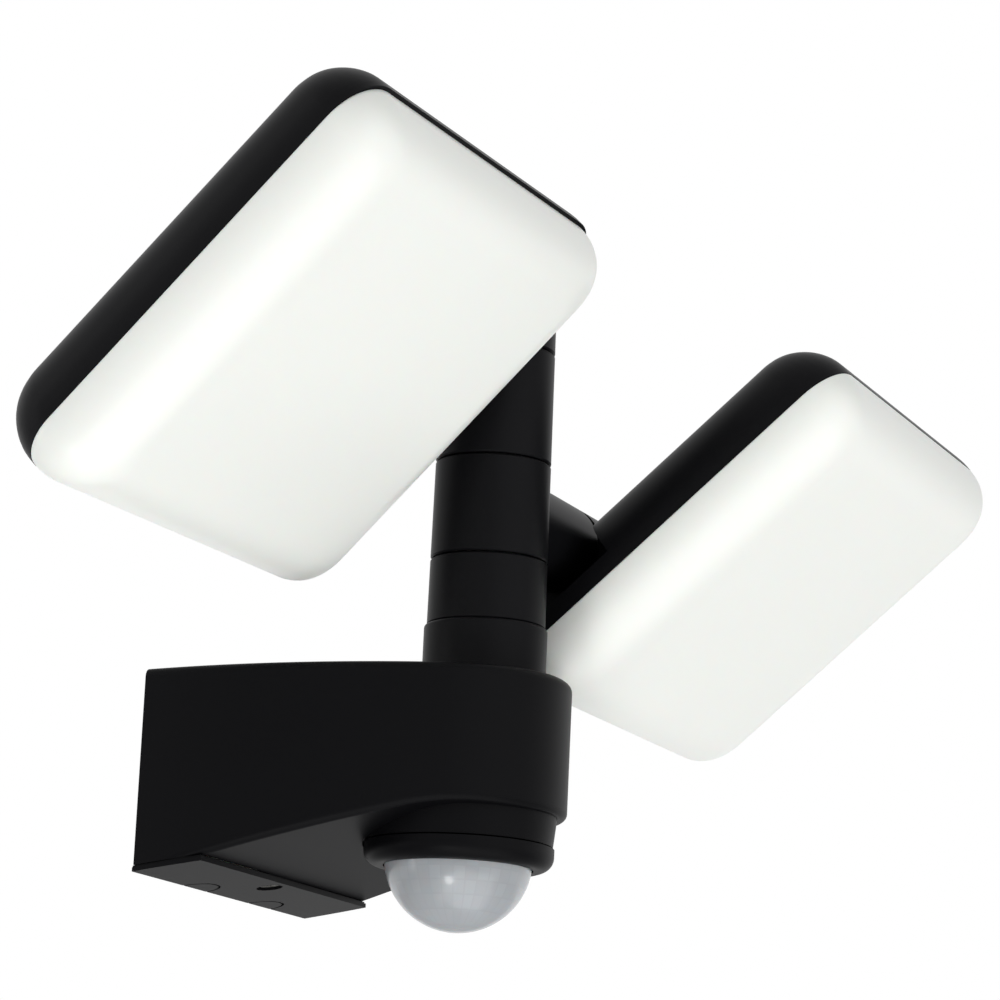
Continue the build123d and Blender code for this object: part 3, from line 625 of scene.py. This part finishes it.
@dataclass
class WallHousing(SubAssembly):
    """Housing, wall plate and what they hold.

    Attributes:
        half_width: half the housing's width at the wall, in millimetres, as are the other lengths.
        flank_radius: radius of its flank, seen from above.
        lip_level: level of the lip's top at the wall.
        lip_slope: how steeply the lip rises away from the wall, in degrees.
        gap_shade_start: where the black strip of painted shade on the lip begins, from the wall.
        gap_shade_end: where its front edge lies.
        gap_shade_inset: how far in from the flank it lies.
        gap_shade_width: its width.
        gap_shade_sink: how far its foot reaches into the lip.
        gap_shade_height: how far it stands above the lip.
        gap_shade_steps: steps along each flank.
    """

    half_width: float = 45.5
    flank_radius: float = 148.5
    lip_level: float = -23.0
    lip_slope: float = 8.5
    gap_shade_start: float = 0.0
    gap_shade_end: float = 17.1
    gap_shade_inset: float = 0.3
    gap_shade_width: float = 2.0
    gap_shade_sink: float = 0.05
    gap_shade_height: float = 0.42
    gap_shade_steps: int = 8

    def finishes(self) -> dict[str, Finishes]:
        """Finish of each CAD node in the group."""
        return {
            "housing_shell": Finishes.BLACK_ABS,
            "wall_plate": Finishes.BLACK_ABS,
            "wall_gasket": Finishes.EPDM,
            "cable_grommet": Finishes.EPDM,
            "housing_screw": Finishes.ZINC_STEEL,
            "terminal_block": Finishes.NYLON,
            "terminal_screws": Finishes.ZINC_STEEL,
            "control_board": Finishes.GREEN_BOARD,
            "control_board_screws": Finishes.ZINC_STEEL,
            "relay": Finishes.PBT_CASE,
            "capacitor": Finishes.PBT_CASE,
        }

    def gap_shade_station(self, hand: int, distance: float, inset: float) -> tuple[Vector, Vector]:
        """Foot and top of the black strip of painted shade on the lip at one place.

        Args:
            hand: 1 on the right flank, -1 on the left.
            distance: from the wall.
            inset: in from the flank.

        Returns:
            The point on the lip and the point at the bead's top, in metres.
        """
        fall = self.flank_radius - math.sqrt(self.flank_radius**2 - distance**2)
        across = hand * (self.half_width - fall - inset)
        level = self.lip_level + math.tan(math.radians(self.lip_slope)) * distance
        foot = Vector((across, -distance, level - self.gap_shade_sink))
        return foot * MM, (foot + Vector((0.0, 0.0, self.gap_shade_sink + self.gap_shade_height))) * MM

    def build(self) -> None:
        """Make the black strip of painted shade that fills the shaded gap between lip and housing."""
        form = bmesh.new()
        stations: list[list[bmesh.types.BMVert]] = []
        front = self.gap_shade_end - self.gap_shade_width
        for hand in (1, -1):
            side: list[list[bmesh.types.BMVert]] = []
            for step in range(self.gap_shade_steps + 1):
                share = step / self.gap_shade_steps
                outer_distance = self.gap_shade_start + (self.gap_shade_end - self.gap_shade_start) * share
                inner_distance = self.gap_shade_start + (front - self.gap_shade_start) * share
                outer = self.gap_shade_station(hand, outer_distance, self.gap_shade_inset)
                inner = self.gap_shade_station(hand, inner_distance, self.gap_shade_inset + self.gap_shade_width)
                side.append([form.verts.new(point) for point in (*outer, *reversed(inner))])
            stations += side if hand == 1 else list(reversed(side))
        for here, after in zip(stations, stations[1:]):
            for index in range(len(here)):
                turn = (index + 1) % len(here)
                form.faces.new((here[index], here[turn], after[turn], after[index]))
        form.faces.new(stations[0])
        form.faces.new(list(reversed(stations[-1])))
        bmesh.ops.recalc_face_normals(form, faces=form.faces)
        # The strip is painted shade: black plastic put in the shaded gap between the lip and the housing.
        gap_shade_strip = finish_form(form, "lip_gap_shade")
        gap_shade_strip.data.materials.append(self.book.get(Finishes.BLACK_ABS))
        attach(gap_shade_strip, "base")
        log.info("built %s", gap_shade_strip.name)


@dataclass
class MotionSensor(SubAssembly):
    """Bezel, lens and the sensor behind it."""

    def finishes(self) -> dict[str, Finishes]:
        """Finish of each CAD node in the group."""
        return {
            "sensor_bezel": Finishes.BLACK_ABS,
            "sensor_dome": Finishes.LENS_PE,
            "sensor_barrel": Finishes.BLACK_ABS,
            "sensor_retainer": Finishes.BLACK_ABS,
            "sensor_board": Finishes.GREEN_BOARD,
            "pyro_sensor": Finishes.NICKEL_CAN,
            "photocell": Finishes.PBT_CASE,
        }


@dataclass
class Pole(SubAssembly):
    """Collar, tubes, turning hubs and the rod that clamps them."""

    def finishes(self) -> dict[str, Finishes]:
        """Finish of each CAD node in the group."""
        return {
            "pole_collar": Finishes.BLACK_ABS_MATT,
            "lower_tube": Finishes.BLACK_ABS_MATT,
            "lower_hub": Finishes.BLACK_ABS_MATT,
            "middle_tube": Finishes.BLACK_ABS_MATT,
            "upper_hub": Finishes.BLACK_ABS_MATT,
            "pole_cap": Finishes.BLACK_ABS_MATT,
            "pole_lock_nut": Finishes.ZINC_STEEL,
            "tie_rod": Finishes.ZINC_STEEL,
            "cap_nut": Finishes.ZINC_STEEL,
            "hub_rings": Finishes.NYLON,
        }


@dataclass(frozen=True)
class HeadPlace:
    """Where a head's seam lies, in millimetres and degrees as in the CAD.

    Attributes:
        hand: 1 for the right head, -1 for the left.
        axis_level: level of its tilt axis.
        tilt: how far its face is turned forward of straight down.
        pan: how far it is turned about the pole.
        pole_setback: how far the pole stands out from the wall.
        offset: from the pole to the head's middle, along the arm.
        lead: from the tilt axis to the middle of the face, along the face.
        drop: from the tilt axis to the seam, out of the face.
    """

    hand: int
    axis_level: float
    tilt: float
    pan: float
    pole_setback: float = 66.708
    offset: float = 84.2
    lead: float = 29.3
    drop: float = 23.1

    def matrix(self) -> Matrix:
        """Turn the head's own millimetres (z out of its face) into the model's metres.

        Returns:
            The four by four matrix.
        """
        tilt = math.radians(self.tilt)
        turn = Matrix.Rotation(math.radians(self.pan), 3, "Z")
        sideways = turn @ Vector((self.hand, 0.0, 0.0))
        outward = turn @ Vector((0.0, -math.sin(tilt), -math.cos(tilt)))
        along = outward.cross(sideways)
        centre = Vector((0.0, -self.pole_setback, self.axis_level))
        centre += sideways * self.offset + along * self.lead + outward * self.drop
        axes = Matrix((sideways, along, outward)).transposed().to_4x4()
        return Matrix.Scale(MM, 4) @ Matrix.Translation(centre) @ axes


RIGHT_HEAD = HeadPlace(hand=1, axis_level=68.0, tilt=41.1, pan=0.8)
LEFT_HEAD = HeadPlace(hand=-1, axis_level=126.6, tilt=44.5, pan=-0.7)


@dataclass
class FloodHead(SubAssembly):
    """One square head: housing, diffuser and the light board between them.

    Attributes:
        side: first word of its pieces' names.
        place: where its seam lies.
        width: width of its outline, in millimetres, as are the other lengths.
        length: length of its outline.
        corner: radius of its corners.
        edge_inset: how far the diffuser stays in from the outline.
        lens_shift: how far the diffuser is moved along the length; it is shorter by twice as much.
        depth: how far the diffuser's flat face stands out from the seam.
        edge_radius: radius of its full round edge.
        edge_steps: steps round that edge.
        face_margin: from the round edge in to the first ring of the flat face.
        wall: thickness of the diffuser's wall.
        seat: height of the rebate that takes the seal.
        skirt: width of the diffuser's foot outside that rebate.
        seam_gap: gap between the foot and the housing.
        foot_round: round on the foot's outer edge.
        foot_steps: steps round it.
        rim_outer: inset of the outer side of the rim that goes into the housing.
        rim_inner: inset of its inner side.
        rim_depth: how far the rim reaches below the seat.
        rim_floor: how far above the seat the rim meets the curved inside.
        seal_inner: inset of the seal's inner edge.
    """

    side: str
    place: HeadPlace
    width: float = 125.5
    length: float = 110.8
    corner: float = 11.5
    edge_inset: float = 0.1
    lens_shift: float = 0.4
    depth: float = 14.3
    edge_radius: float = 13.8
    edge_steps: int = 26
    face_margin: float = 1.0
    wall: float = 2.2
    seat: float = 0.6
    skirt: float = 0.9
    seam_gap: float = 0.05
    foot_round: float = 0.15
    foot_steps: int = 2
    rim_outer: float = 2.8
    rim_inner: float = 4.3
    rim_depth: float = 3.0
    rim_floor: float = 1.5
    seal_inner: float = 2.5

    def finishes(self) -> dict[str, Finishes]:
        """Finish of each CAD node in the group."""
        parts = {
            "head_housing": Finishes.BLACK_ABS_MATT,
            "head_seal": Finishes.EPDM,
            "diffuser": Finishes.OPAL_PC,
            "led_board": Finishes.WHITE_BOARD,
            "leds": Finishes.PHOSPHOR,
            "board_screws": Finishes.ZINC_STEEL,
            "led_driver": Finishes.PBT_CASE,
            "tilt_washer": Finishes.BLACK_NYLON,
            "tilt_nut": Finishes.ZINC_STEEL,
        }
        return {f"{self.side}_{part}": finish for part, finish in parts.items()}

    def diffuser_section(self) -> list[ProfilePoint]:
        """Section of the diffuser: flat face, one full round edge, foot with a rebate, and the inside.

        Returns:
            The section from the outer face round to the inner face.
        """
        spring = self.depth - self.edge_radius
        inner_radius = self.edge_radius - self.wall
        face_inset = self.edge_inset + self.edge_radius + self.face_margin
        section = [ProfilePoint(face_inset, self.depth)]
        for step in range(self.edge_steps, -1, -1):
            angle = QUARTER_TURN * step / self.edge_steps
            section.append(
                ProfilePoint(
                    self.edge_inset + self.edge_radius * (1 - math.cos(angle)),
                    spring + self.edge_radius * math.sin(angle),
                )
            )
        foot = self.edge_inset + self.foot_round
        for step in range(self.foot_steps + 1):
            angle = QUARTER_TURN * step / self.foot_steps
            section.append(
                ProfilePoint(
                    foot - self.foot_round * math.cos(angle),
                    self.seam_gap + self.foot_round * (1 - math.sin(angle)),
                )
            )
        section += [
            ProfilePoint(self.edge_inset + self.skirt, self.seam_gap, True),
            ProfilePoint(self.edge_inset + self.skirt, self.seat, True),
            ProfilePoint(self.rim_outer, self.seat, True),
            ProfilePoint(self.rim_outer, self.seat - self.rim_depth, True),
            ProfilePoint(self.rim_inner, self.seat - self.rim_depth, True),
            ProfilePoint(self.rim_inner, self.seat + self.rim_floor, True),
        ]
        start = math.asin((self.seat + self.rim_floor - spring) / inner_radius)
        inner_steps = self.edge_steps // 2
        for step in range(inner_steps + 1):
            angle = start + (QUARTER_TURN - start) * step / inner_steps
            section.append(
                ProfilePoint(
                    self.edge_inset + self.wall + inner_radius * (1 - math.cos(angle)),
                    spring + inner_radius * math.sin(angle),
                    step == 0,
                )
            )
        section.append(ProfilePoint(face_inset, spring + inner_radius))
        return section

    def seal_section(self) -> list[ProfilePoint]:
        """Section of the flat rubber seal that lies in the diffuser's rebate.

        Returns:
            The section's four corners.
        """
        outer = self.edge_inset + self.skirt + self.seam_gap
        return [
            ProfilePoint(outer, self.seat, True),
            ProfilePoint(outer, 0.0, True),
            ProfilePoint(self.seal_inner, 0.0, True),
            ProfilePoint(self.seal_inner, self.seat, True),
        ]

    def build(self) -> None:
        """Make the diffuser with its full round edge, and the seal in its rebate."""
        moulding = SquareMoulding(self.width, self.length - self.lens_shift * 2, self.corner)
        place = self.place.matrix() @ Matrix.Translation((0.0, self.lens_shift, 0.0))
        lens = moulding.build(f"{self.side}_opal_lens", self.diffuser_section(), place)
        seal = moulding.build(f"{self.side}_flat_seal", self.seal_section(), place, looped=True)
        for piece, node, finish, slot in (
            (lens, "diffuser", Finishes.OPAL_PC, "opal_diffuser"),
            (seal, "head_seal", Finishes.EPDM, "seal_rubber"),
        ):
            piece.data.materials.append(self.book.get(finish))
            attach(piece, f"{self.side}_head")
            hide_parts(f"{self.side}_{node}")
            log.info("built %s", piece.name)


# ---------------------------------------------------------------------------------------------
# Studio
# ---------------------------------------------------------------------------------------------


@dataclass
class SoftBox:
    """One soft studio lamp.

    Attributes:
        name: name of the lamp.
        place: where it hangs, in metres.
        width: width of its face, in metres.
        height: height of its face, in metres.
        watts: its power.
        aim: the point that it faces, in metres.
    """

    name: str
    place: tuple[float, float, float]
    width: float
    height: float
    watts: float
    aim: tuple[float, float, float] = (0.0, -0.07, 0.05)

    def build(self) -> None:
        """Hang the lamp and turn it to the object."""
        data = bpy.data.lights.new(self.name, "AREA")
        data.shape = "RECTANGLE"
        data.size = self.width
        data.size_y = self.height
        data.energy = self.watts
        lamp = link_object(self.name, data)
        lamp.visible_camera = False
        lamp.location = self.place
        ahead = Vector(self.aim) - Vector(self.place)
        lamp.rotation_euler = ahead.to_track_quat("-Z", "Y").to_euler()


@dataclass
class Studio:
    """White studio: pale floor far below the wall light, soft lamps and the camera.

    Attributes:
        eye: the camera's place, in metres.
        azimuth: where the camera looks, in degrees from straight at the wall toward the right.
        elevation: how far it looks up, in degrees.
        roll: how far it is rolled, in degrees.
        lens_mm: its focal length.
        sensor_mm: width of its sensor.
        floor_level: level of the floor, in metres.
        floor_half: half the floor's side, in metres.
        floor_colour: sRGB hex code of the floor's paint.
        floor_roughness: roughness of the paint.
        floor_lift: light that the floor adds for the camera alone, to make it paler.
        left_light: strength of the backdrop's light from the left.
        right_light: strength of its light from the right.
        boxes: the lamps.
    """

    eye: tuple[float, float, float] = (-0.8538, -0.4488, -0.1336)
    azimuth: float = 66.01
    elevation: float = 12.36
    roll: float = 2.65
    lens_mm: float = 143.2
    sensor_mm: float = 36.0
    floor_level: float = -1.1
    floor_half: float = 3.0
    floor_colour: str = "#F4F4F4"
    floor_roughness: float = 0.5
    floor_lift: float = 0.42
    left_light: float = 0.52
    right_light: float = 0.34
    boxes: list[SoftBox] = field(
        default_factory=lambda: [
            SoftBox("left_box", (-1.3, 0.5, 0.5), 1.0, 1.6, 0.5),
            SoftBox("left_strip", (-0.75, 0.9, 0.25), 0.22, 1.4, 1.9),
            SoftBox("front_box", (-0.6, -1.5, 0.4), 1.8, 1.6, 5.6),
            SoftBox("low_box", (-0.3, -0.5, -0.8), 1.2, 1.2, 7.1),
            SoftBox("key_box", (-0.77, -0.17, -0.67), 0.2, 0.2, 1.4),
            SoftBox("right_strip", (1.1, -0.45, 0.25), 0.3, 1.4, 0.25),
            SoftBox("top_box", (0.0, -0.2, 1.4), 1.4, 1.4, 0.9),
        ]
    )

    def add_camera(self) -> None:
        """Place the camera as the photograph was taken, from below left."""
        azimuth, elevation, roll = (math.radians(v) for v in (self.azimuth, self.elevation, self.roll))
        ahead = Vector(
            (
                math.sin(azimuth) * math.cos(elevation),
                math.cos(azimuth) * math.cos(elevation),
                math.sin(elevation),
            )
        )
        level = Vector((math.cos(azimuth), -math.sin(azimuth), 0.0))
        upright = level.cross(ahead)
        right = math.cos(roll) * level + math.sin(roll) * upright
        up = -math.sin(roll) * level + math.cos(roll) * upright
        data = bpy.data.cameras.new("camera")
        data.lens = self.lens_mm
        data.sensor_width = self.sensor_mm
        camera = link_object("camera", data)
        turn = Matrix((right, up, -ahead)).transposed().to_4x4()
        camera.matrix_world = Matrix.Translation(self.eye) @ turn
        bpy.context.scene.camera = camera

    def add_floor(self) -> None:
        """Lay a pale floor well below the light."""
        form = bmesh.new()
        bmesh.ops.create_grid(form, x_segments=1, y_segments=1, size=self.floor_half)
        floor = finish_form(form, "floor")
        floor.location = (0.0, 0.0, self.floor_level)
        material = bpy.data.materials.new("painted_studio_floor")
        material.use_nodes = True
        tree = material.node_tree
        tree.nodes.clear()
        shader = add_node(
            tree,
            "ShaderNodeBsdfDiffuse",
            None,
            {"Color": srgb(self.floor_colour), "Roughness": self.floor_roughness},
        )
        path = add_node(tree, "ShaderNodeLightPath")
        lift = calculate(tree, "MULTIPLY", path.outputs["Is Camera Ray"], self.floor_lift)
        glow = add_node(tree, "ShaderNodeEmission", None, {"Color": srgb(WHITE), "Strength": lift})
        both = add_node(tree, "ShaderNodeAddShader", None, {0: shader.outputs[0], 1: glow.outputs[0]})
        add_node(tree, "ShaderNodeOutputMaterial", None, {"Surface": both.outputs[0]})
        floor.data.materials.append(material)

    def add_world(self) -> None:
        """Make the backdrop: white where it is seen or mirrored, and else soft light from both sides."""
        world = bpy.data.worlds.new("studio")
        bpy.context.scene.world = world
        world.use_nodes = True
        tree = world.node_tree
        tree.nodes.clear()
        path = add_node(tree, "ShaderNodeLightPath")
        passing = calculate(
            tree, "MAXIMUM", path.outputs["Is Glossy Ray"], path.outputs["Is Transmission Ray"]
        )
        seen = calculate(tree, "MAXIMUM", path.outputs["Is Camera Ray"], passing)
        place = add_node(tree, "ShaderNodeTexCoord")
        toward = add_node(tree, "ShaderNodeSeparateXYZ", None, {"Vector": place.outputs["Generated"]})
        level = add_node(
            tree,
            "ShaderNodeMapRange",
            None,
            {
                "Value": toward.outputs["X"],
                "From Min": -1.0,
                "From Max": 1.0,
                "To Min": self.left_light,
                "To Max": self.right_light,
            },
        )
        light = add_node(
            tree, "ShaderNodeBackground", None, {"Color": srgb(WHITE), "Strength": level.outputs[0]}
        )
        backdrop = add_node(tree, "ShaderNodeBackground", None, {"Color": srgb(WHITE), "Strength": 1.0})
        both = add_node(
            tree, "ShaderNodeMixShader", None, {0: seen, 1: light.outputs[0], 2: backdrop.outputs[0]}
        )
        add_node(tree, "ShaderNodeOutputWorld", None, {"Surface": both.outputs[0]})

    def build(self) -> None:
        """Set up the whole studio."""
        bpy.context.scene.view_settings.view_transform = "Standard"
        self.add_camera()
        self.add_floor()
        self.add_world()
        for box in self.boxes:
            box.build()
            log.info("hung %s", box.name)


def main() -> None:
    """Build the studio and dress the light."""
    logging.basicConfig(level=logging.INFO, format="%(message)s")
    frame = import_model()
    book = FinishBook()
    nodes = frame["nodes"]
    Studio().build()
    groups: list[SubAssembly] = [
        WallHousing(nodes, book),
        MotionSensor(nodes, book),
        Pole(nodes, book),
        FloodHead(nodes, book, "right", RIGHT_HEAD),
        FloodHead(nodes, book, "left", LEFT_HEAD),
    ]
    for group in groups:
        group.dress()
        group.build()


if __name__ == "__main__":
    main()
